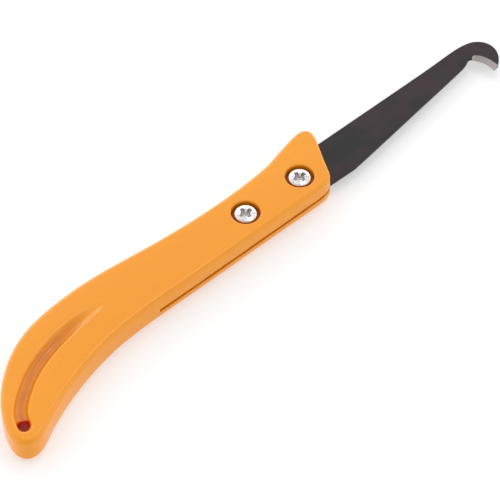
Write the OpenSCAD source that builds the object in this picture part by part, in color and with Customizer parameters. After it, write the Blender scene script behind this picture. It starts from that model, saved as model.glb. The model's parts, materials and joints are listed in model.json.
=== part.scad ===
// Hook-bladed farrier knife: slotted moulded handle, flat hook blade, two screws and two nuts.
// +X points to the blade's hook, +Y to the spine, +Z out of the face that shows the screw heads.
// The knife lies on its back face at Z = 0, and the middle of its outline is at X = 0, Y = 0.

/* [Handle] */
// Thickness of the moulding, back face to front face
handle_t = 9.0; // [8.6:0.1:10]
// Height of the slot's middle plane above the back face
slot_mid_z = 3.8; // [3.8:0.1:4.5]
// Radius of the hole for hanging the knife
hang_hole_r = 1.8; // [1.6:0.1:2]
// Depth of the thumb channel on each face
channel_depth = 1.7; // [0.6:0.1:2]
// Radius of the round bottom of the thumb channel
channel_r = 2.1; // [1.9:0.1:2.6]
// Radius of the edge round the front face, as a share of the radius round the back face
front_edge_share = 0.6; // [0.5:0.1:1]

/* [Blade] */
// Thickness of the blade's sheet steel
blade_t = 1.0; // [0.8:0.1:1.2]
// Distance from the rear screw back to the end of the tang
tang_tail = 37.0; // [12:1:38]
// Height of the tang's upper edge above the screws' line
tang_rise = 6.2; // [5:0.1:6.4]
// Spare length and height of the slot past the tang
slot_spare = 0.3; // [0.2:0.1:0.5]

/* [Screws and nuts] */
// Distance between the two screws
screw_pitch = 21.2; // [20:0.1:22]
// Radius of the screw's shank
shank_r = 1.95; // [1.8:0.05:2]
// Length of the shank under the head
shank_len = 6.0; // [5.6:0.1:6.2]
// Radius of the pan head
head_r = 3.45; // [3.2:0.05:3.6]
// Height of the pan head
head_h = 2.6; // [2.2:0.1:2.7]
// Radius of the counterbore that holds a head
counterbore_r = 4.35; // [4:0.05:4.5]
// Depth of the counterbore
counterbore_depth = 2.7; // [2.7:0.1:3]
// Width of the nut across its flats
nut_flats = 7.0; // [6.8:0.1:7.2]
// Height of the nut
nut_h = 2.1; // [2:0.1:2.2]

/* [Hidden] */
$fn = 64;

steps = 4;            // curve points for each control point of a smooth outline
edge_steps = 4;       // facets across a rounded edge
ring_steps = 14;      // points round a channel's cross-section
rear_screw_at = [-1.6, 4.7];
front_screw_at = rear_screw_at + [screw_pitch, 0.1];
hang_hole_at = [-97.4, -12.4];
head_seat_z = handle_t - counterbore_depth;
blade_z = slot_mid_z - blade_t / 2;
nut_seat_z = nut_h + 0.3;
shank_hole_r = 2.2;
blade_hole_r = 2.1;
nut_play = 0.1;       // across the flats, between a nut and its pocket
thread_play = 0.02;   // radial, between a nut's bore and the shank
tang_end_x = rear_screw_at[0] - tang_tail;
tang_top_y = rear_screw_at[1] + tang_rise;
shoulder_x = 23.5;    // where the blade's full height begins, hidden in the hump
slot_run_on = 2.5;    // how far the slot goes on past the tang's end
blade_low_y = -0.6;
blade_spine_y = 13.45;

// Control points of the handle's outline: x, y and the radius of the rounded edge there
handle_outline = [
  // belly, from the front lower corner to the tail
  [23.6, -2.7, 1.6], [18, -2.9, 2], [5, -3.1, 2.2], [-15, -3.5, 2.2], [-33, -3.8, 2.2],
  [-46, -3.9, 2.2], [-56, -4.6, 2.2], [-65, -6.2, 2.2], [-75, -9, 2.2], [-84, -12.5, 2.2],
  [-90.5, -15.7, 2.2], [-95.8, -19.1, 2.2], [-101, -19.5, 2.2], [-103.8, -15, 2.2],
  [-100.6, -6.5, 2.2],
  // spine, from the tail to the foot of the thumb hump
  [-96, 0.2, 2.2], [-90, 5.9, 2.2], [-82.5, 11, 2.2], [-74, 14, 2.2], [-64, 15.4, 2.2],
  [-52, 15.9, 2.2], [-40, 14.9, 2.2], [-27, 13.6, 2.2], [-10, 12.9, 2.2], [4, 13.4, 2.2],
  [12, 14.2, 2.2], [17, 14.9, 2],
  // thumb hump, straight up its slope and round its top
  [19, 15.7, 2], [24, 17, 2], [29, 18.2, 1.8], [32.4, 18.4, 1.4], [34.7, 16.4, 1.2],
  // slanted front face
  [33.2, 12, 1.2], [30.2, 6.3, 1.2], [28.1, 1.6, 1.2], [26.8, -1.4, 1.4]
];

// Middle line of the thumb channel, from its end at the hanging hole to its run-out: x, y and the
// depth there as a share of channel_depth
channel_line = [
  [-97.8, -13.2, 1], [-95.9, -8.8, 1], [-93.2, -6.2, 1], [-90, -3.7, 1], [-86.5, -1.3, 1],
  [-82.2, 0.9, 1], [-76.5, 3, 1], [-71.2, 4.3, 0.95], [-65, 5.3, 0.55], [-60, 5.7, 0.2],
  [-56, 5.9, -0.08]
];

// Edge of the blade from its straight root, along the taper and the neck, to the hook's point
belly_curve = [
  [36.8, blade_low_y], [38.8, -0.4], [72, 4.9], [80, 6.1], [87.2, 7.3], [91.4, 8], [93.4, 9.4],
  [94.6, 8.85], [95.6, 7.05], [96.5, 5.15], [96.7, 3.35], [96.6, 2.05], [96.4, 1.05]
];

// Outside of the hook, from its blunt end back to the straight spine
hook_curve = [
  [98.4, 1.45], [100, 2.55], [101.7, 4.45], [102.8, 6.85], [102.9, 9.45], [101.8, 11.9],
  [99.6, 13.8], [96.7, 14.6], [91.8, 14.9], [84, 14.4], [74, 14.2]
];

// Upper limit of the ground bevel on the front face, from the neck to the hook's end
grind_curve = [
  [94.6, 10.05], [96.4, 8.95], [97.6, 7.15], [98.2, 5.05], [98.4, 3.05], [98.45, 1.45]
];

// Cubic B-spline point at t in a segment with control points a, b, c, d
function spline_at(a, b, c, d, t) =
  (pow(1 - t, 3) * a + (3 * pow(t, 3) - 6 * t * t + 4) * b
    + (-3 * pow(t, 3) + 3 * t * t + 3 * t + 1) * c + pow(t, 3) * d) / 6;

// Smooth closed curve inside the control points p, with n points for each of them
function closed_curve(p, n) = [
  for (i = [0:len(p) - 1], j = [0:n - 1])
    spline_at(p[i], p[(i + 1) % len(p)], p[(i + 2) % len(p)], p[(i + 3) % len(p)], j / n)
];

// Smooth open curve that starts at the first control point of p and ends at the last
function open_curve(p, n) =
  let (last = p[len(p) - 1], q = concat([p[0], p[0]], p, [last, last]))
  concat([
    for (i = [0:len(q) - 4], j = [0:n - 1]) spline_at(q[i], q[i + 1], q[i + 2], q[i + 3], j / n)
  ], [last]);

function unit(v) = v / norm(v);
function plan(p) = [p[0], p[1]];
function turned_right(v) = [v[1], -v[0]];

// Closed solid through a list of rings with the same number of points, capped at both ends.
// Each ring runs anticlockwise when it is seen from the last ring.
module ring_solid(rings) {
  n = len(rings[0]);
  m = len(rings);
  sides = [
    for (k = [0:m - 2], i = [0:n - 1])
      [k * n + i, (k + 1) * n + i, (k + 1) * n + (i + 1) % n, k * n + (i + 1) % n]
  ];
  bottom = [for (i = [0:n - 1]) i];
  top = [for (i = [n - 1:-1:0]) (m - 1) * n + i];
  polyhedron(points = [for (r = rings) each r], faces = concat(sides, [bottom, top]));
}

// Closed loop of rings with the same number of points, such as a frame round an outline
module loop_solid(rings) {
  n = len(rings[0]);
  m = len(rings);
  sides = [
    for (k = [0:m - 1], i = [0:n - 1])
      let (next = (k + 1) % m, j = (i + 1) % n) [k * n + i, next * n + i, next * n + j, k * n + j]
  ];
  polyhedron(points = [for (r = rings) each r], faces = sides);
}

// Handle's outline, anticlockwise: x, y and the radius of the rounded edge at each point
outline = closed_curve([for (i = [len(handle_outline) - 1:-1:0]) handle_outline[i]], steps);

// Frame of waste that is cut off round the front face, so that its edge comes out rounded
module edge_waste(share) {
  n = len(outline);
  waste = 1;
  rings = [
    for (i = [0:n - 1])
      let (
        p = plan(outline[i]),
        r = outline[i][2] * share,
        out = turned_right(unit(plan(outline[(i + 1) % n] - outline[(i + n - 1) % n]))),
        arc = [
          for (k = [0:edge_steps])
            let (a = 90 * k / edge_steps) [-r * (1 - cos(a)), handle_t - r * (1 - sin(a))]
        ],
        section = concat(
          arc, [[-r, handle_t + waste], [waste, handle_t + waste], [waste, handle_t - r]])
      )
      [for (q = section) [p[0] + out[0] * q[0], p[1] + out[1] * q[0], q[1]]]
  ];
  loop_solid(rings);
}

// Solid block of the handle with rounded edges, before anything else is cut out of it
module handle_blank() {
  difference() {
    linear_extrude(handle_t) polygon([for (q = outline) plan(q)]);
    edge_waste(front_edge_share);
    translate([0, 0, handle_t]) mirror([0, 0, 1]) edge_waste(1);
  }
}

// Round-bottomed thumb channel, as the solid that a ball cutter sweeps into the front face
module channel_cut() {
  line = open_curve(channel_line, 2);
  n = len(line);
  function ring(at, across, r) = [
    for (k = [0:ring_steps - 1])
      let (a = -360 * k / ring_steps, p = plan(at) + across * r * cos(a))
      [p[0], p[1], handle_t + channel_r - channel_depth * at[2] + r * sin(a)]
  ];
  first_along = unit(plan(line[1] - line[0]));
  ball_end = [
    for (b = [72:-18:18])
      ring(
        line[0] - [first_along[0], first_along[1], 0] * channel_r * sin(b),
        turned_right(first_along), channel_r * cos(b))
  ];
  swept = [
    for (i = [0:n - 1])
      let (along = unit(plan(line[min(i + 1, n - 1)] - line[max(i - 1, 0)])))
      ring(line[i], turned_right(along), channel_r)
  ];
  ring_solid(concat(ball_end, swept));
}

// Space for the blade, open to the front and along the belly
module slot() {
  end_x = tang_end_x - slot_spare - slot_run_on;
  front_x = 60;         // clear of the handle's front
  below_y = -10;        // clear of its belly
  translate([0, 0, blade_z])
    linear_extrude(blade_t)
      polygon([
        [end_x, below_y], [front_x, below_y], [front_x, blade_spine_y + slot_spare],
        [shoulder_x - slot_spare, blade_spine_y + slot_spare],
        [shoulder_x - slot_spare, tang_top_y + slot_spare], [end_x, tang_top_y + slot_spare]
      ]);
}

// What one screw and its nut need: counterbore, clearance hole and hexagonal pocket
module screw_way(at) {
  translate([at[0], at[1], head_seat_z]) cylinder(r = counterbore_r, h = counterbore_depth + 1);
  translate([at[0], at[1], -1]) cylinder(r = shank_hole_r, h = handle_t + 2);
  translate([at[0], at[1], -1]) hexagon_bar(nut_flats + nut_play, nut_seat_z + 1);
}

module hexagon_bar(flats, h) {
  cylinder(r = flats / 2 / cos(30), h = h, $fn = 6);
}

module handle() {
  color("orange")
    difference() {
      handle_blank();
      slot();
      screw_way(front_screw_at);
      screw_way(rear_screw_at);
      translate([hang_hole_at[0], hang_hole_at[1], -1]) cylinder(r = hang_hole_r, h = handle_t + 2);
      channel_cut();
      translate([0, 0, handle_t]) mirror([0, 0, 1]) channel_cut();
    }
}

// Metal that grinding takes off the inside of the hook, down to a thin land at the back face
module grind_cut() {
  first_ground = 7;     // point of belly_curve where the bevel begins
  upper = open_curve(grind_curve, steps);
  edge = open_curve([for (i = [first_ground:len(belly_curve) - 1]) belly_curve[i]], steps);
  n = 16;
  land = 0.12;
  fall = blade_t - land;
  before_edge = [-0.7, 0.3];
  past_edge = [-0.3, -1.5];
  over_z = blade_z + blade_t + 1;
  function along(c, i) =
    let (s = i / n * (len(c) - 1), k = min(floor(s), len(c) - 2))
    c[k] + (c[k + 1] - c[k]) * (s - k);
  rings = [
    for (i = [-1:n])
      let (
        k = max(0, min(n - 1, i)),
        past = i < 0 ? before_edge : i == n ? past_edge : [0, 0],
        u = along(upper, k) + past,
        e = along(edge, k) + past,
        slope = (e - u) / fall
      )
      [
        [u[0] - slope[0], u[1] - slope[1], over_z],
        [e[0] + slope[0] * 2, e[1] + slope[1] * 2, over_z],
        [e[0] + slope[0] * 2, e[1] + slope[1] * 2, blade_z + land - 2]
      ]
  ];
  ring_solid(rings);
}

module hook_blade() {
  tang_chamfer = 3;
  color("dimgray")
    difference() {
      translate([0, 0, blade_z])
        linear_extrude(blade_t)
          polygon(concat(
            [[tang_end_x, blade_low_y]],
            open_curve(belly_curve, steps),
            open_curve(hook_curve, steps),
            [
              [shoulder_x, blade_spine_y], [shoulder_x, tang_top_y],
              [tang_end_x + tang_chamfer, tang_top_y], [tang_end_x, tang_top_y - tang_chamfer]
            ]));
      for (at = [front_screw_at, rear_screw_at])
        translate([at[0], at[1], blade_z - 1]) cylinder(r = blade_hole_r, h = blade_t + 2);
      grind_cut();
    }
}

// Pan-head machine screw with a cross recess, its head's underside on the counterbore's floor
module screw(at) {
  side_h = 0.8;
  end_chamfer = 0.3;
  recess = [4.2, 0.8, 1.5];
  dome = [
    for (a = [0:10:80]) [head_r * cos(a), side_h + (head_h - side_h) * sin(a)]
  ];
  color("silver")
    translate([at[0], at[1], head_seat_z])
      difference() {
        rotate_extrude()
          polygon(concat(
            [[0, -shank_len], [shank_r - end_chamfer, -shank_len],
              [shank_r, -shank_len + end_chamfer], [shank_r, 0], [head_r, 0]],
            dome, [[0, head_h]]));
        for (turn = [0, 90])
          rotate(turn)
            translate([-recess[0] / 2, -recess[1] / 2, head_h - recess[2]])
              cube([recess[0], recess[1], recess[2] + 1]);
      }
}

module front_screw() { screw(front_screw_at); }
module rear_screw() { screw(rear_screw_at); }

// Thin hexagonal nut, against the floor of its pocket in the back face
module nut(at) {
  color("lightgray")
    translate([at[0], at[1], nut_seat_z - nut_h])
      difference() {
        hexagon_bar(nut_flats, nut_h);
        translate([0, 0, -1]) cylinder(r = shank_r + thread_play, h = nut_h + 2);
      }
}

module front_nut() { nut(front_screw_at); }
module rear_nut() { nut(rear_screw_at); }

handle();
hook_blade();
front_screw();
rear_screw();
front_nut();
rear_nut();
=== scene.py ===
"""Hoof knife: detailed meshes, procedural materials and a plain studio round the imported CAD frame.

Lengths are in millimetres, in the frame's own axes, until a mesh or a light is made from them.
"""
import json
import math

import bpy
import numpy as np
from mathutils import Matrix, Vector
from mathutils.geometry import tessellate_polygon


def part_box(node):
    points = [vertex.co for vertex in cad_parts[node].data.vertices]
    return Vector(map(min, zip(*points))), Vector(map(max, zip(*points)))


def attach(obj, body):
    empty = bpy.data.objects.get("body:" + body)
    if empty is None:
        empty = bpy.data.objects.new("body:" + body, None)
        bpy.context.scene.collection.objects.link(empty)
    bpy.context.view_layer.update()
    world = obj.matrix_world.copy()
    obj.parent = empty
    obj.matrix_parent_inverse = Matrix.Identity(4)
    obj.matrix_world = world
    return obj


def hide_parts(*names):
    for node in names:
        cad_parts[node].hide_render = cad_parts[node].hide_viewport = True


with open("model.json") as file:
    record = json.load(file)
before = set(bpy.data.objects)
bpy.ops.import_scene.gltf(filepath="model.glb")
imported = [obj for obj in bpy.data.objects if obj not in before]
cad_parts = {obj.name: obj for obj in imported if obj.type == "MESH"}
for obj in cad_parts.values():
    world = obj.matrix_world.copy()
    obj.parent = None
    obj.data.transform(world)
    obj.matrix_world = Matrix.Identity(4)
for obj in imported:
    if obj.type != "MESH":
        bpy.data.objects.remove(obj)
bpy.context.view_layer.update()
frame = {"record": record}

METRE = 1000.0  # millimetres in a metre


# ---------------------------------------------------------------- sizes from the frame

def box_mm(node):
    """Lowest and highest corner of a CAD node, in millimetres."""
    low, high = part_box(node)
    return np.array(low) * METRE, np.array(high) * METRE


handle_low, handle_high = box_mm("handle")
blade_low, blade_high = box_mm("hook_blade")
nut_low, nut_high = box_mm("rear_nut")
rear_low, rear_high = box_mm("rear_screw")
front_low, front_high = box_mm("front_screw")

HANDLE_T = handle_high[2]
BLADE_Z = blade_low[2]
BLADE_T = blade_high[2] - blade_low[2]
SLOT_MID_Z = BLADE_Z + BLADE_T / 2
REAR_SCREW = (rear_low[:2] + rear_high[:2]) / 2
FRONT_SCREW = (front_low[:2] + front_high[:2]) / 2
HEAD_R = (rear_high[0] - rear_low[0]) / 2
SCREW_END_Z = rear_low[2]
HEAD_TOP_Z = rear_high[2]
NUT_SEAT_Z = nut_high[2]
NUT_H = nut_high[2] - nut_low[2]
NUT_FLATS = nut_high[1] - nut_low[1]
HANGING = next(m for m in frame["record"]["mounts"] if m["name"] == "hanging_hole")
HANG_AT = np.array(HANGING["pos_m"][:2]) * METRE
HANG_R = HANGING["dims"]["r_mm"]

# ---------------------------------------------------------------- driving dimensions

HEAD_H = 2.6               # under the head to its top
HEAD_SEAT_Z = HEAD_TOP_Z - HEAD_H
SHANK_R = 1.95
COUNTERBORE_R = 4.35
SHANK_HOLE_R = 2.2
BLADE_HOLE_R = 2.1
POCKET_FLATS = NUT_FLATS + 0.1
CHANNEL_R = 2.1            # ball that the thumb channel is swept with
CHANNEL_DEPTH = 1.7
SLOT_SPARE = 0.3           # between the tang and the end of the slot
TANG_TOP_Y = 10.9
SPINE_Y = 13.45
SHOULDER_X = 23.5
TANG_END_X = blade_low[0]
TANG_CHAMFER = 3.0
SLOT_RUN_ON = 2.5          # how far the slot goes on past the tang's end
SLOT_END_X = TANG_END_X - SLOT_SPARE - SLOT_RUN_ON

# Control points of the handle's outline, clockwise: x, y and the radius of the rounded edge there
HANDLE_OUTLINE = [
    # belly, from the front lower corner to the tail
    (23.6, -2.7, 1.6), (18, -2.9, 2), (5, -3.1, 2.2), (-15, -3.5, 2.2), (-33, -3.8, 2.2),
    (-46, -3.9, 2.2), (-56, -4.6, 2.2), (-65, -6.2, 2.2), (-75, -9, 2.2), (-84, -12.5, 2.2),
    (-90.5, -15.7, 2.2), (-95.8, -19.1, 2.2), (-101, -19.5, 2.2), (-103.8, -15, 2.2),
    (-100.6, -6.5, 2.2),
    # spine, from the tail to the foot of the thumb hump
    (-96, 0.2, 2.2), (-90, 5.9, 2.2), (-82.5, 11, 2.2), (-74, 14, 2.2), (-64, 15.4, 2.2),
    (-52, 15.9, 2.2), (-40, 14.9, 2.2), (-27, 13.6, 2.2), (-10, 12.9, 2.2), (4, 13.4, 2.2),
    (12, 14.2, 2.2), (17, 14.9, 2),
    # thumb hump, straight up its slope and round its top
    (19, 15.7, 2), (24, 17, 2), (29, 18.2, 1.8), (32.4, 18.4, 1.4), (34.7, 16.4, 1.2),
    # slanted front face
    (33.2, 12, 1.2), (30.2, 6.3, 1.2), (28.1, 1.6, 1.2), (26.8, -1.4, 1.4),
]

# Middle line of the thumb channel, from its end at the hanging hole to its run-out: x, y and
# the depth there as a share of CHANNEL_DEPTH
CHANNEL_LINE = [
    (-97.8, -13.2, 1), (-95.9, -8.8, 1), (-93.2, -6.2, 1), (-90, -3.7, 1), (-86.5, -1.3, 1),
    (-82.2, 0.9, 1), (-76.5, 3, 1), (-71.2, 4.3, 0.95), (-65, 5.3, 0.55), (-60, 5.7, 0.2),
    (-56, 5.9, -0.08),
]

# Edge of the blade from its straight root to the throat of the hook, then on to the point
BELLY_CURVE = [
    (36.8, -0.6), (38.8, -0.4), (72, 4.9), (80, 6.1), (87.2, 7.3), (91.4, 8), (93.4, 9.4),
    (94.6, 8.85), (95.6, 7.05), (96.5, 5.15), (96.7, 3.35), (96.6, 2.05), (96.4, 1.05),
]
THROAT = 7                 # the control point of BELLY_CURVE where the ground edge starts

# Outside of the hook, from its blunt end back to the straight spine
HOOK_CURVE = [
    (98.4, 1.45), (100, 2.55), (101.7, 4.45), (102.8, 6.85), (102.9, 9.45), (101.8, 11.9),
    (99.6, 13.8), (96.7, 14.6), (91.8, 14.9), (84, 14.4), (74, 14.2),
]

# Upper limit of the ground bevel on the front face, from the throat to the hook's end
GRIND_CURVE = [
    (94.6, 10.05), (96.4, 8.95), (97.6, 7.15), (98.2, 5.05), (98.4, 3.05), (98.45, 1.45),
]


# ---------------------------------------------------------------- curves in plan

def spline(points, steps, closed=False):
    """Points of the uniform cubic B-spline with these control points."""
    p = np.array(points, float)
    if closed:
        p = np.vstack([p, p[:3]])
    else:
        p = np.vstack([p[:1], p[:1], p, p[-1:], p[-1:]])
    t = (np.arange(steps) / steps)[:, None]
    weights = ((1 - t) ** 3, 3 * t**3 - 6 * t**2 + 4, -3 * t**3 + 3 * t**2 + 3 * t + 1, t**3)
    curve = np.vstack([
        sum(w * p[i + k] for k, w in enumerate(weights)) / 6 for i in range(len(p) - 3)
    ])
    return curve if closed else np.vstack([curve, p[-1:]])


def nearest(curve, x, y):
    """Distance in plan from each point to a polyline, and the polyline's third value there."""
    gap = np.full(x.shape, np.inf)
    value = np.zeros(x.shape)
    for a, b in zip(curve[:-1], curve[1:]):
        run = b[:2] - a[:2]
        t = np.clip(((x - a[0]) * run[0] + (y - a[1]) * run[1]) / run.dot(run), 0, 1)
        d = np.hypot(x - a[0] - t * run[0], y - a[1] - t * run[1])
        nearer = d < gap
        gap = np.where(nearer, d, gap)
        value = np.where(nearer, a[2] + t * (b[2] - a[2]), value)
    return gap, value


def inside(curve, x, y):
    """True where a point lies inside a closed polyline."""
    crossed = np.zeros(x.shape, bool)
    for a, b in zip(curve[:-1], curve[1:]):
        if a[1] != b[1]:
            spans = (a[1] > y) != (b[1] > y)
            crossed ^= spans & (x < a[0] + (y - a[1]) * (b[0] - a[0]) / (b[1] - a[1]))
    return crossed


class PlanMap:
    """Values known on a grid in plan, read between its lines together with their slopes."""

    def __init__(self, x, y, values):
        self.x, self.y = x, y
        self.layers = [(v, *np.gradient(v, x, y)) for v in values]

    def read(self, px, py):
        u = np.clip((px - self.x[0]) / (self.x[1] - self.x[0]), 0, len(self.x) - 1.001)
        v = np.clip((py - self.y[0]) / (self.y[1] - self.y[0]), 0, len(self.y) - 1.001)
        i, j = u.astype(int), v.astype(int)
        u, v = u - i, v - j
        return [
            [(1 - u) * (1 - v) * g[i, j] + u * (1 - v) * g[i + 1, j]
             + (1 - u) * v * g[i, j + 1] + u * v * g[i + 1, j + 1] for g in layer]
            for layer in self.layers
        ]


# ---------------------------------------------------------------- solids as distance fields

def common(a, b, r):
    """Field of what two solids share, with the edge where they meet rounded to radius r."""
    return np.minimum(np.maximum(a, b), -r) + np.hypot(np.maximum(a + r, 0), np.maximum(b + r, 0))


def cut(solid, tool, r):
    """Field of a solid with a tool's shape taken away, and a rounded lip."""
    return common(solid, -tool, r)


def polygon_bar(x, y, flats, sides=6):
    """Distance in plan to a regular bar that stands on the Z axis, with a corner on +X."""
    turns = [math.tau * (k + 0.5) / sides for k in range(sides)]
    return np.maximum.reduce([x * math.cos(a) + y * math.sin(a) for a in turns]) - flats / 2


def surface_net(field, axes):
    """Vertices and quads of a field's zero surface on a grid, one vertex in each crossed cell."""
    cells = np.array(field.shape) - 1
    total = np.zeros((3, cells.prod()))
    count = np.zeros(cells.prod())
    crossings = []
    for axis in range(3):
        low = np.moveaxis(field, axis, 0)[:-1]
        high = np.moveaxis(field, axis, 0)[1:]
        found = np.argwhere((low < 0) != (high < 0))
        a, b = low[tuple(found.T)], high[tuple(found.T)]
        others = [k for k in range(3) if k != axis]
        at = np.empty_like(found)
        at[:, axis] = found[:, 0]
        at[:, others] = found[:, 1:]
        spot = np.stack([axes[k][at[:, k]] for k in range(3)])
        step = axes[axis][at[:, axis] + 1] - axes[axis][at[:, axis]]
        spot[axis] += step * a / (a - b)
        around = []
        for back in ((1, 1), (0, 1), (0, 0), (1, 0)):
            cell = at.copy()
            cell[:, others] -= back
            around.append(cell)
            flat = np.ravel_multi_index(cell.T, cells)
            count += np.bincount(flat, minlength=len(count))
            for k in range(3):
                total[k] += np.bincount(flat, spot[k], minlength=len(count))
        around = np.stack([np.ravel_multi_index(c.T, cells) for c in around], axis=1)
        flip = (a > 0) != (axis == 1)
        around[flip] = around[flip][:, ::-1]
        crossings.append(around)
    used = count > 0
    number = np.cumsum(used) - 1
    points = (total[:, used] / count[used]).T
    return points, number[np.vstack(crossings)]


def slope_of(field, points, step=0.01):
    """A field's value and slope at each point, by central differences."""
    x, y, z = points.T
    slope = np.stack([
        field(x + step, y, z) - field(x - step, y, z),
        field(x, y + step, z) - field(x, y - step, z),
        field(x, y, z + step) - field(x, y, z - step),
    ], axis=1) / (2 * step)
    return field(x, y, z), slope


def settle(points, value_and_slope, reach, rounds=6):
    """Points moved along a field's slope onto its zero surface, and their unit normals."""
    for _ in range(rounds):
        value, slope = value_and_slope(points)
        size = np.maximum((slope**2).sum(axis=1), 0.05)
        points = points - np.clip(value / size, -reach, reach)[:, None] * slope
    value, slope = value_and_slope(points)
    return points, slope / np.linalg.norm(slope, axis=1)[:, None]


def grid(low, high, cell):
    """Evenly spaced grid lines that reach past both corners by a cell or more."""
    return [np.arange(a - 1.37 * cell, b + 2.1 * cell, cell) for a, b in zip(low, high)]


# ---------------------------------------------------------------- meshes

def mesh_object(name, points, faces, at=(0, 0, 0)):
    """A new object from millimetre points, which stands at a millimetre place."""
    mesh = bpy.data.meshes.new(name)
    mesh.from_pydata(((np.asarray(points) + np.asarray(at)) / METRE).tolist(), [], faces)
    mesh.update()
    obj = bpy.data.objects.new(name, mesh)
    bpy.context.collection.objects.link(obj)
    return obj


def thinned(points, quads, ratio):
    """The surface with fewer triangles, mostly where it is flat."""
    obj = mesh_object("thinning", points, quads.tolist())
    modifier = obj.modifiers.new("fewer", "DECIMATE")
    modifier.ratio = ratio
    bpy.context.view_layer.update()
    thin = obj.evaluated_get(bpy.context.evaluated_depsgraph_get()).to_mesh()
    out = np.empty(len(thin.vertices) * 3)
    thin.vertices.foreach_get("co", out)
    faces = [tuple(p.vertices) for p in thin.polygons]
    bpy.data.objects.remove(obj)
    return out.reshape(-1, 3) * METRE, faces


def solid_piece(name, field, value_and_slope, axes, ratio, at=(0, 0, 0)):
    """A piece whose skin is the zero surface of a field, smooth-shaded by the field's own slope."""
    cell = axes[0][1] - axes[0][0]
    points, quads = surface_net(field, axes)
    points, _ = settle(points, value_and_slope, cell / 2)
    points, faces = thinned(points, quads, ratio)
    points, normals = settle(points, value_and_slope, cell / 4, rounds=3)
    obj = mesh_object(name, points, faces, at)
    obj.data.shade_smooth()
    obj.data.normals_split_custom_set_from_vertices(normals.tolist())
    return obj


def place(obj, node):
    """Parents a piece to the root body and hides the CAD node that it stands for."""
    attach(obj, "root")
    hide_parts(node)


# ---------------------------------------------------------------- handle

FRONT_EDGE_SHARE = 0.6     # radius of the front face's edge, as a share of the back face's
EDGE_CROWN = 0.12          # how far each face falls away towards its edge
CROWN_WIDTH = 7.0          # over what width it does
WALL_BULGE = 0.13          # how far the side wall draws in towards the faces
CHANNEL_LIP = 0.6          # rounding of the channel's lips
COUNTERBORE_LIP = 0.35
SLOT_EASE = 0.02           # clear air on each side of the blade
HOLLOW_FADE = 0.3          # over what width the painted shade of a hollow fades out at its rim
HANDLE_CELL = 0.3


def handle_field(x, y, z, edge, edge_r, channel_gap, channel_share):
    """Distance to the moulding. The last four come from maps in plan."""
    mid = HANDLE_T / 2
    wall = edge + WALL_BULGE * ((z - mid) / mid) ** 2
    near_edge = np.clip(1 + edge / CROWN_WIDTH, 0, 1)
    face = np.abs(z - mid) - mid + EDGE_CROWN * near_edge**2
    solid = common(wall, face, edge_r * np.where(z > mid, FRONT_EDGE_SHARE, 1))
    for side in (z, HANDLE_T - z):
        mid_z = HANDLE_T + CHANNEL_R - CHANNEL_DEPTH * channel_share
        ball = np.hypot(channel_gap, side - mid_z) - CHANNEL_R
        solid = cut(solid, ball, CHANNEL_LIP)
    solid = cut(solid, np.hypot(x - HANG_AT[0], y - HANG_AT[1]) - HANG_R, 0.3)
    for at in (FRONT_SCREW, REAR_SCREW):
        radius = np.hypot(x - at[0], y - at[1])
        solid = cut(solid, np.maximum(radius - COUNTERBORE_R, HEAD_SEAT_Z - z), COUNTERBORE_LIP)
        pocket = polygon_bar(x - at[0], y - at[1], POCKET_FLATS)
        solid = cut(solid, np.maximum(pocket, z - NUT_SEAT_Z), 0.25)
        solid = cut(solid, radius - SHANK_HOLE_R, 0.1)
    top_y = np.where(x > SHOULDER_X - SLOT_SPARE, SPINE_Y, TANG_TOP_Y) + SLOT_SPARE
    across = np.abs(z - SLOT_MID_Z) - BLADE_T / 2 - SLOT_EASE
    slot = np.maximum(np.maximum(SLOT_END_X - x, y - top_y), across)
    return cut(solid, slot, 0.12)


def mark_painted_shade(mesh, points, channel_gap):
    """Marks where shade is painted on the skin: how deep it lies in a channel or counterbore, and
    inside the bore that the knife hangs by.
    """
    sunk = np.clip((HANDLE_T / 2 - np.abs(points[:, 2] - HANDLE_T / 2)) / CHANNEL_DEPTH, 0, 1)

    def within(reach, gap):
        return np.clip((reach - gap) / HOLLOW_FADE, 0, 1)

    def away(at):
        return np.hypot(*(points[:, :2] - at).T)

    # Painted shade: the skin deep in the thumb channel and the counterbores is darkened where shadow
    # falls there.
    recess_shade = sunk * within(CHANNEL_R, channel_gap)
    for at in (FRONT_SCREW, REAR_SCREW):
        recess_shade = np.maximum(recess_shade, sunk * within(COUNTERBORE_R + 0.4, away(at)))
    # Painted shade: the inside of the bore that the knife hangs by is marked for a deep red
    # darkness.
    hole = sunk * within(HANG_R + 0.3, away(HANG_AT))
    for name, values in (("recess_shade", recess_shade), ("hole", hole)):
        mesh.attributes.new(name, "FLOAT", "POINT").data.foreach_set("value", values)


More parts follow.
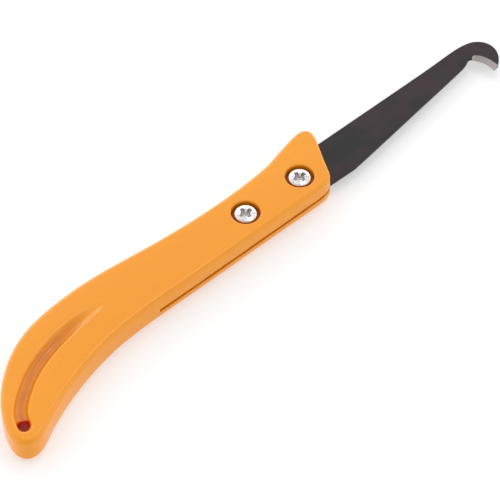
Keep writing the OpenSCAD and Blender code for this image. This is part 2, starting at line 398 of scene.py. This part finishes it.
def make_handle():
    x, y, z = axes = grid(handle_low, handle_high, HANDLE_CELL)
    gx, gy = np.meshgrid(x, y, indexing="ij")
    outline = spline(HANDLE_OUTLINE, 14, closed=True)
    outline = np.vstack([outline, outline[:1]])
    edge, edge_r = nearest(outline, gx, gy)
    edge = np.where(inside(outline, gx, gy), -edge, edge)
    gap, share = nearest(spline(CHANNEL_LINE, 10), gx, gy)
    maps = PlanMap(x, y, [edge, edge_r, gap, share])

    def value_and_slope(p):
        layers = maps.read(p[:, 0], p[:, 1])

        def at(dx, dy, dz):
            here = [value + sx * dx + sy * dy for value, sx, sy in layers]
            return handle_field(p[:, 0] + dx, p[:, 1] + dy, p[:, 2] + dz, *here)

        s = 0.01
        slope = np.stack([
            at(s, 0, 0) - at(-s, 0, 0), at(0, s, 0) - at(0, -s, 0), at(0, 0, s) - at(0, 0, -s)
        ], axis=1) / (2 * s)
        return at(0, 0, 0), slope

    plan = [v[:, :, None] for v in (gx, gy)]
    layers = [v[:, :, None] for v in (edge, edge_r, gap, share)]
    field = handle_field(plan[0], plan[1], z[None, None, :], *layers)
    obj = solid_piece("handle_moulding", field, value_and_slope, axes, 0.55)
    points = np.array([v.co for v in obj.data.vertices]) * METRE
    mark_painted_shade(obj.data, points, maps.read(points[:, 0], points[:, 1])[2][0])
    obj.data.materials.append(plastic_material())
    place(obj, "handle")


# ---------------------------------------------------------------- screws and nuts

THREAD_PITCH = 0.7
THREAD_DEPTH = 0.36
FASTENER_CELL = 0.1


def thread_radius(x, y, z):
    """Radius of an M4 thread's flank at this place round and along the Z axis."""
    turn = (z / THREAD_PITCH - np.arctan2(y, x) / math.tau) % 1.0
    ridge = np.clip(1.25 - 2.5 * np.abs(turn - 0.5) * 1.15, 0, 1)
    return SHANK_R - THREAD_DEPTH * (1 - ridge)


def screw_field(x, y, z):
    """Pan-head screw with a cross recess. Z is 0 under its head."""
    radius = np.hypot(x, y)
    dome_r = 14.0
    dome = np.sqrt(radius**2 + (z - HEAD_H + dome_r) ** 2) - dome_r
    head = common(common(radius - HEAD_R, dome, 0.5), -z, 0.12)
    length = HEAD_SEAT_Z - SCREW_END_Z
    thread = radius - np.where(z < -0.9, thread_radius(x, y, z), SHANK_R - 0.1)
    tip = (radius - SHANK_R + 0.45 - (z + length)) * 0.7
    shank = np.maximum(np.maximum(np.maximum(thread, tip), -length - z), z - 0.3)
    solid = np.minimum(head, shank)
    deep = HEAD_H - z
    for a, b in ((x, y), (y, x)):
        width = 0.6 - 0.06 * deep
        reach = 2.2 - 0.36 * deep
        arm = np.maximum(np.maximum(np.abs(a) - reach, np.abs(b) - width), deep - 1.8)
        solid = cut(solid, arm, 0.08)
    solid = cut(solid, np.maximum(radius - 1.5 + 0.45 * deep, deep - 2.0), 0.06)
    u, v = (x + y) * math.sqrt(0.5), (x - y) * math.sqrt(0.5)
    for a, b in ((u, v), (v, u)):
        ends = np.maximum(np.abs(a) - 2.7, 1.9 - np.abs(a))
        tick = np.maximum(ends, np.abs(b) - 0.18)
        solid = cut(solid, np.maximum(tick, dome * -1 - 0.16), 0.05)
    return solid


def nut_field(x, y, z):
    """Thin hexagonal nut with chamfered corners. Z is 0 at its lower face."""
    radius = np.hypot(x, y)
    bar = polygon_bar(x, y, NUT_FLATS)
    half = NUT_H / 2
    end = np.abs(z - half) - half
    chamfer = (radius - NUT_FLATS / 2 - 0.06 + 1.73 * end) * 0.5
    solid = np.maximum(common(bar, end, 0.08), chamfer)
    bore = radius - thread_radius(x, y, z + SCREW_END_Z - HEAD_SEAT_Z) - 0.03
    solid = cut(solid, bore, 0.04)
    countersink = (radius - SHANK_R - 0.25 - end) * 0.7
    return cut(solid, countersink, 0.04)


def fastener(name, field, low, high, at, ratio):
    axes = grid(low, high, FASTENER_CELL)
    on_grid = field(axes[0][:, None, None], axes[1][None, :, None], axes[2][None, None, :])
    return solid_piece(name, on_grid, lambda p: slope_of(field, p), axes, ratio, at)


def make_fasteners():
    nickel, zinc = nickel_material(), zinc_material()
    for end, at in (("front", FRONT_SCREW), ("rear", REAR_SCREW)):
        screw = fastener(
            f"{end}_pan_head_screw", screw_field,
            (-HEAD_R, -HEAD_R, SCREW_END_Z - HEAD_SEAT_Z), (HEAD_R, HEAD_R, HEAD_H),
            (*at, HEAD_SEAT_Z), 0.6)
        screw.data.materials.append(nickel)
        place(screw, f"{end}_screw")
        corner = NUT_FLATS / 2 / math.cos(math.pi / 6)
        nut = fastener(
            f"{end}_hex_nut", nut_field,
            (-corner, -corner, 0), (corner, corner, NUT_H),
            (*at, NUT_SEAT_Z - NUT_H), 0.5)
        nut.data.materials.append(zinc)
        place(nut, f"{end}_nut")


# ---------------------------------------------------------------- blade

EDGE_BREAK = 0.1           # rounding of the sheet's edges
LAND = 0.03                # what grinding leaves of the sheet's thickness at the cutting edge
HOLLOW = 0.05              # how far the ground bevel is hollow at its middle
EASE_COLUMNS = 9           # columns over which the bevel grows to its full width
GROUND_COLUMNS = 64        # columns along the ground edge
BLADE_STEPS = 10
HOLE_SIDES = 48
SHARP_DEGREES = 20         # corners of the blade sharper than this aren't smoothed


def offset_inwards(loop, distance):
    """An anticlockwise closed loop in plan, drawn in by a distance."""
    run = np.roll(loop, -1, axis=0) - np.roll(loop, 1, axis=0)
    run /= np.linalg.norm(run, axis=1)[:, None]
    return loop + distance * np.stack([-run[:, 1], run[:, 0]], axis=1)


def resampled(curve, n):
    """n points at even steps along a curve."""
    walk = np.r_[0, np.cumsum(np.linalg.norm(np.diff(curve, axis=0), axis=1))]
    even = np.linspace(0, walk[-1], n)
    return np.stack([np.interp(even, walk, curve[:, k]) for k in range(2)], axis=1), even


def blade_columns():
    """Plan points round the blade, and the upper limit of the bevel along its ground edge."""
    belly = spline(BELLY_CURVE, BLADE_STEPS)
    edge_start = spline(BELLY_CURVE[THROAT:], BLADE_STEPS)
    split = np.argmin(np.linalg.norm(belly - edge_start[0], axis=1))
    edge, along = resampled(belly[split:], GROUND_COLUMNS)
    upper, _ = resampled(spline(GRIND_CURVE, BLADE_STEPS), GROUND_COLUMNS)
    grow = np.clip(np.arange(GROUND_COLUMNS) / EASE_COLUMNS, 0, 1)[:, None]
    upper = edge + (upper - edge) * grow**0.7
    before = np.vstack([[[TANG_END_X, BELLY_CURVE[0][1]]], belly[:split]])
    after = np.vstack([
        spline(HOOK_CURVE, BLADE_STEPS),
        [(SHOULDER_X, SPINE_Y), (SHOULDER_X, TANG_TOP_Y),
         (TANG_END_X + TANG_CHAMFER, TANG_TOP_Y), (TANG_END_X, TANG_TOP_Y - TANG_CHAMFER)],
    ])
    return before, edge, upper, along, after


def make_blade():
    before, edge, upper, along, after = blade_columns()
    top_z, low_z = BLADE_Z + BLADE_T, BLADE_Z
    outline = np.vstack([before, edge, after])
    ground = slice(len(before), len(before) + len(edge))
    soft = EDGE_BREAK * 0.3
    profile = [  # how far in, and how high, each ring of the plain sheet's edge lies
        (EDGE_BREAK, top_z), (soft, top_z - soft), (0, top_z - EDGE_BREAK),
        (0, low_z + EDGE_BREAK), (soft, low_z + soft), (EDGE_BREAK, low_z),
    ]
    rings = []
    for k, (inset, z) in enumerate(profile):
        plan = offset_inwards(outline, inset)
        height = np.full(len(outline), z)
        down = min(max(k - 1, 0), 3) / 3
        plan[ground] = upper + (edge - upper) * down
        sag = HOLLOW * 4 * down * (1 - down)
        height[ground] = top_z + (low_z + LAND - top_z) * down - sag
        if k == 0:
            plan[ground] = upper + (upper - edge) * 0.02
            height[ground] = top_z
        if k == len(profile) - 1:
            height[ground] = low_z
        rings.append(np.column_stack([plan, height]))
    n = len(outline)
    points = list(np.vstack(rings))
    faces, kinds = [], []
    for k in range(len(rings) - 1):
        for i in range(n):
            j = (i + 1) % n
            faces.append((k * n + i, (k + 1) * n + i, (k + 1) * n + j, k * n + j))
            kinds.append(1 if 1 <= k < 4 and ground.start <= i < ground.stop - 1 else 0)
    turn = np.arange(HOLE_SIDES) * math.tau / HOLE_SIDES
    circle = np.stack([np.cos(turn), np.sin(turn)], axis=1)
    holes = []
    for at in (FRONT_SCREW, REAR_SCREW):
        start = len(points)
        holes.append(start)
        for z in (top_z, low_z):
            points += list(np.column_stack([at + circle * BLADE_HOLE_R, np.full(HOLE_SIDES, z)]))
        for i in range(HOLE_SIDES):
            j = (i + 1) % HOLE_SIDES
            faces.append((start + i, start + j, start + HOLE_SIDES + j, start + HOLE_SIDES + i))
            kinds.append(0)
    for level, up in ((0, True), (1, False)):
        first = 0 if level == 0 else (len(rings) - 1) * n
        loops = [list(range(first, first + n))]
        loops += [list(range(h + level * HOLE_SIDES, h + (level + 1) * HOLE_SIDES)) for h in holes]
        flat = [i for loop in loops for i in loop]
        plan = [[Vector((points[i][0], points[i][1], 0)) for i in loop] for loop in loops]
        for triangle in tessellate_polygon(plan):
            a, b, c = (flat[i] for i in triangle)
            normal_z = np.cross(points[b][:2] - points[a][:2], points[c][:2] - points[a][:2])
            faces.append((a, b, c) if (normal_z > 0) == up else (a, c, b))
            kinds.append(0)
    obj = mesh_object("hook_blade_steel", points, faces)
    mesh = obj.data
    mesh.polygons.foreach_set("material_index", kinds)
    ground_way = mesh.attributes.new("ground_way", "FLOAT", "POINT")
    way = np.zeros(len(points))
    for k in range(len(rings)):
        way[k * n + ground.start:k * n + ground.stop] = along
    ground_way.data.foreach_set("value", way)
    mesh.shade_smooth()
    mesh.set_sharp_from_angle(angle=math.radians(SHARP_DEGREES))
    mesh.materials.append(oxide_material())
    mesh.materials.append(ground_material())
    place(obj, "hook_blade")


# ---------------------------------------------------------------- materials

MAP_RANGE_SOCKETS = ("From Min", "From Max", "To Min", "To Max")


class Shader:
    """A material with one Principled shader, and short calls for the nodes that feed it."""

    def __init__(self, name, **values):
        self.material = bpy.data.materials.new(name)
        self.material.use_nodes = True
        self.tree = self.material.node_tree
        self.bsdf = self.tree.nodes["Principled BSDF"]
        for socket, value in values.items():
            self.bsdf.inputs[socket.replace("_", " ")].default_value = value

    def node(self, kind, **settings):
        node = self.tree.nodes.new(kind)
        for key, value in settings.items():
            setattr(node, key, value)
        return node

    def link(self, out, into):
        self.tree.links.new(out, into)
        return into

    def place(self, stretch=(1, 1, 1), turn=0.0):
        """Object coordinates, stretched and turned about Z."""
        where = self.node("ShaderNodeTexCoord")
        mapping = self.node("ShaderNodeMapping")
        mapping.inputs["Scale"].default_value = stretch
        mapping.inputs["Rotation"].default_value = (0, 0, turn)
        self.link(where.outputs["Object"], mapping.inputs["Vector"])
        return mapping.outputs["Vector"]

    def noise(self, size_mm, detail=3.0, where=None, rough=0.5):
        """Smooth noise whose blobs are about size_mm across."""
        node = self.node("ShaderNodeTexNoise")
        node.inputs["Scale"].default_value = METRE / size_mm
        node.inputs["Detail"].default_value = detail
        node.inputs["Roughness"].default_value = rough
        self.link(where or self.place(), node.inputs["Vector"])
        return node.outputs["Fac"]

    def steer(self, value, low, high, out_low, out_high):
        """A value carried from one range to another, held at the ends."""
        node = self.node("ShaderNodeMapRange")
        for name, v in zip(MAP_RANGE_SOCKETS, (low, high, out_low, out_high)):
            node.inputs[name].default_value = v
        self.link(value, node.inputs["Value"])
        return node.outputs["Result"]

    def blend(self, factor, a, b):
        """Colour between a and b."""
        node = self.node("ShaderNodeMix", data_type="RGBA")
        for socket, value in (("A", a), ("B", b)):
            slot = next(s for s in node.inputs if s.name == socket and s.type == "RGBA")
            if isinstance(value, tuple):
                slot.default_value = (*value, 1)
            else:
                self.link(value, slot)
        self.link(factor, next(s for s in node.inputs if s.name == "Factor" and s.type == "VALUE"))
        return next(s for s in node.outputs if s.type == "RGBA")

    def maths(self, kind, a, b):
        node = self.node("ShaderNodeMath", operation=kind)
        for slot, value in zip(node.inputs, (a, b)):
            if isinstance(value, (int, float)):
                slot.default_value = value
            else:
                self.link(value, slot)
        return node.outputs["Value"]

    def bump(self, height, depth_mm, strength=1.0, after=None):
        node = self.node("ShaderNodeBump")
        node.inputs["Strength"].default_value = strength
        node.inputs["Distance"].default_value = depth_mm / METRE
        self.link(height, node.inputs["Height"])
        if after is not None:
            self.link(after, node.inputs["Normal"])
        return node.outputs["Normal"]

    def wire(self, **sources):
        for socket, source in sources.items():
            self.link(source, self.bsdf.inputs[socket.replace("_", " ")])
        return self.material


def plastic_material():
    """Semi-gloss orange moulding with a slight flow pattern and fine grain, and shade painted into
    its channel, counterbores and hanging bore.
    """
    s = Shader("orange_moulded_plastic", IOR=1.49)
    flow = s.noise(26, 2, s.place((0.6, 1.2, 1), 0.2))
    mottle = s.noise(3.2, 3)
    colour = s.blend(s.steer(flow, 0.3, 0.7, 0, 1), (0.80, 0.285, 0.005), (0.83, 0.305, 0.008))
    colour = s.blend(s.steer(mottle, 0.35, 0.75, 0, 0.35), colour, (0.77, 0.26, 0.004))
    # Painted shade: darker orange deep in the channel and counterbores, patchy with the mottle.
    recess_shade = s.node("ShaderNodeAttribute", attribute_name="recess_shade").outputs["Fac"]
    recess_shade = s.maths("MULTIPLY", recess_shade, s.steer(mottle, 0.3, 0.7, 0.75, 1.0))
    colour = s.blend(recess_shade, colour, (0.62, 0.17, 0.003))
    # Painted shade: deep red inside the bore that the knife hangs by.
    hole = s.node("ShaderNodeAttribute", attribute_name="hole").outputs["Fac"]
    colour = s.blend(hole, colour, (0.70, 0.03, 0.004))
    grain = s.noise(0.35, 2)
    rough = s.maths("ADD", s.steer(grain, 0.3, 0.7, 0.17, 0.23), s.steer(mottle, 0.3, 0.7, 0, 0.06))
    normal = s.bump(grain, 0.0035)
    normal = s.bump(flow, 0.12, after=normal)
    return s.wire(Base_Color=colour, Roughness=rough, Normal=normal)


def oxide_material():
    """Black-oxide sheet steel: brown and blue-grey patches, rolling marks along the blade."""
    s = Shader("black_oxide_steel", IOR=1.32)
    patch = s.noise(6, 4, s.place((0.7, 1, 1)))
    rolled = s.noise(0.5, 3, s.place((0.05, 1, 1)))
    blotch = s.steer(patch, 0.38, 0.62, 0, 1)
    colour = s.blend(blotch, (0.011, 0.0115, 0.012), (0.031, 0.016, 0.020))
    colour = s.blend(s.steer(rolled, 0.4, 0.8, 0, 0.3), colour, (0.030, 0.024, 0.025))
    rough = s.maths("ADD", s.steer(patch, 0.3, 0.7, 0.40, 0.5), s.steer(rolled, 0.3, 0.7, 0, 0.07))
    normal = s.bump(rolled, 0.004)
    normal = s.bump(s.noise(0.3, 2), 0.004, after=normal)
    return s.wire(Base_Color=colour, Roughness=rough, Normal=normal)


def ground_material():
    """Bare steel of the bevel, with the wheel's marks running across it."""
    s = Shader("ground_steel", Metallic=1.0)
    way = s.node("ShaderNodeAttribute", attribute_name="ground_way")
    line = s.node("ShaderNodeCombineXYZ")
    s.link(way.outputs["Fac"], line.inputs["X"])
    marks = s.node("ShaderNodeTexNoise", noise_dimensions="3D")
    marks.inputs["Scale"].default_value = 6.0
    marks.inputs["Detail"].default_value = 4.0
    s.link(line.outputs["Vector"], marks.inputs["Vector"])
    marks = marks.outputs["Fac"]
    colour = s.blend(s.steer(marks, 0.3, 0.7, 0, 1), (0.29, 0.25, 0.255), (0.54, 0.48, 0.475))
    rough = s.steer(marks, 0.3, 0.7, 0.32, 0.48)
    return s.wire(Base_Color=colour, Roughness=rough, Normal=s.bump(marks, 0.01))


def nickel_material():
    """Bright nickel plate with fine turning and tumbling marks."""
    s = Shader("bright_nickel_plate", Metallic=1.0)
    haze = s.noise(0.6, 3)
    colour = s.blend(s.steer(haze, 0.35, 0.65, 0, 1), (0.64, 0.61, 0.61), (0.80, 0.77, 0.77))
    rough = s.steer(haze, 0.3, 0.7, 0.12, 0.24)
    return s.wire(Base_Color=colour, Roughness=rough, Normal=s.bump(s.noise(0.18, 2), 0.003))


def zinc_material():
    """Zinc plate, duller than the nickel, with a faint blue and straw cast."""
    s = Shader("zinc_plate", Metallic=1.0)
    cast = s.noise(2.5, 3)
    colour = s.blend(s.steer(cast, 0.35, 0.65, 0, 1), (0.62, 0.64, 0.68), (0.72, 0.69, 0.62))
    rough = s.steer(s.noise(0.4, 3), 0.3, 0.7, 0.26, 0.40)
    return s.wire(Base_Color=colour, Roughness=rough, Normal=s.bump(s.noise(0.25, 2), 0.004))


# ---------------------------------------------------------------- studio

def make_floor():
    """A wide pale floor that the knife lies on."""
    half = 1500
    corners = [(-half, -half, 0), (half, -half, 0), (half, half, 0), (-half, half, 0)]
    obj = mesh_object("floor", corners, [(0, 1, 2, 3)], (0, 0, -0.02))
    s = Shader("pale_floor", Roughness=0.9, Specular_IOR_Level=0.0, Emission_Strength=0.4)
    s.bsdf.inputs["Base Color"].default_value = (0.6, 0.6, 0.6, 1)
    s.bsdf.inputs["Emission Color"].default_value = (1, 1, 1, 1)
    obj.data.materials.append(s.material)


def softbox(name, direction, size_mm, watts, distance=900):
    """A round area light in a direction from the middle of the knife, aimed at it."""
    light = bpy.data.lights.new(name, "AREA")
    light.shape = "DISK"
    light.size = size_mm / METRE
    light.energy = watts
    obj = bpy.data.objects.new(name, light)
    way = Vector(direction).normalized()
    obj.location = way * distance / METRE
    obj.rotation_euler = way.to_track_quat("Z", "Y").to_euler()
    bpy.context.collection.objects.link(obj)


BACK = (0.66, 0.75, 0)      # level, away from the camera
SIDE_SKY, TOP_SKY = 1.5, 0.84
SKY_TURNS = (0.35, 0.85)    # heights between which the sky changes from one to the other
BACK_GAIN = 0.4             # how much brighter the sky is behind the knife than at its sides


def make_sky():
    """A light tent: bright low down and behind the knife, dim overhead."""
    world = bpy.data.worlds.new("studio")
    bpy.context.scene.world = world
    world.use_nodes = True
    nodes, links = world.node_tree.nodes, world.node_tree.links
    where = nodes.new("ShaderNodeTexCoord").outputs["Generated"]
    split = nodes.new("ShaderNodeSeparateXYZ")
    links.new(where, split.inputs["Vector"])
    level = nodes.new("ShaderNodeMapRange")
    level.interpolation_type = "SMOOTHSTEP"
    for name, value in zip(MAP_RANGE_SOCKETS, (*SKY_TURNS, SIDE_SKY, TOP_SKY)):
        level.inputs[name].default_value = value
    links.new(split.outputs["Z"], level.inputs["Value"])
    behind = nodes.new("ShaderNodeVectorMath")
    behind.operation = "DOT_PRODUCT"
    behind.inputs[1].default_value = BACK
    links.new(where, behind.inputs[0])
    gain = nodes.new("ShaderNodeMath")
    gain.operation = "MULTIPLY_ADD"
    gain.inputs[1].default_value = BACK_GAIN
    gain.inputs[2].default_value = 1.0
    links.new(behind.outputs["Value"], gain.inputs[0])
    both = nodes.new("ShaderNodeMath")
    both.operation = "MULTIPLY"
    links.new(level.outputs["Result"], both.inputs[0])
    links.new(gain.outputs["Value"], both.inputs[1])
    back = nodes["Background"]
    back.inputs["Color"].default_value = (1.0, 1.0, 1.0, 1)
    links.new(both.outputs["Value"], back.inputs["Strength"])


def make_lights():
    softbox("overhead_key", (0.35, 0.17, 0.92), 90, 0.4)
    softbox("back_light", (0.27, 0.71, 0.64), 70, 0.2)
    softbox("tail_light", (-0.96, 0.26, 0.06), 70, 0.3)


# Where the camera stands and what it looks at
CAMERA_TARGET = Vector((-7.5, -3.93, 4.2))
CAMERA_AZIMUTH = -41.3     # degrees round from -Y
CAMERA_ELEVATION = 50.0
CAMERA_DISTANCE = 816.3
CAMERA_LENS = 202.8


def make_camera():
    camera = bpy.data.objects.new("camera", bpy.data.cameras.new("camera"))
    camera.data.lens = CAMERA_LENS
    camera.data.sensor_width = 36
    camera.data.clip_end = 10
    a, e = math.radians(CAMERA_AZIMUTH), math.radians(CAMERA_ELEVATION)
    back = Vector((math.sin(a) * math.cos(e), -math.cos(a) * math.cos(e), math.sin(e)))
    camera.location = (CAMERA_TARGET + back * CAMERA_DISTANCE) / METRE
    camera.rotation_euler = back.to_track_quat("Z", "Y").to_euler()
    bpy.context.collection.objects.link(camera)
    bpy.context.scene.camera = camera


make_camera()
make_sky()
make_lights()
make_floor()
make_handle()
make_blade()
make_fasteners()
bpy.context.scene.view_settings.view_transform = "Standard"
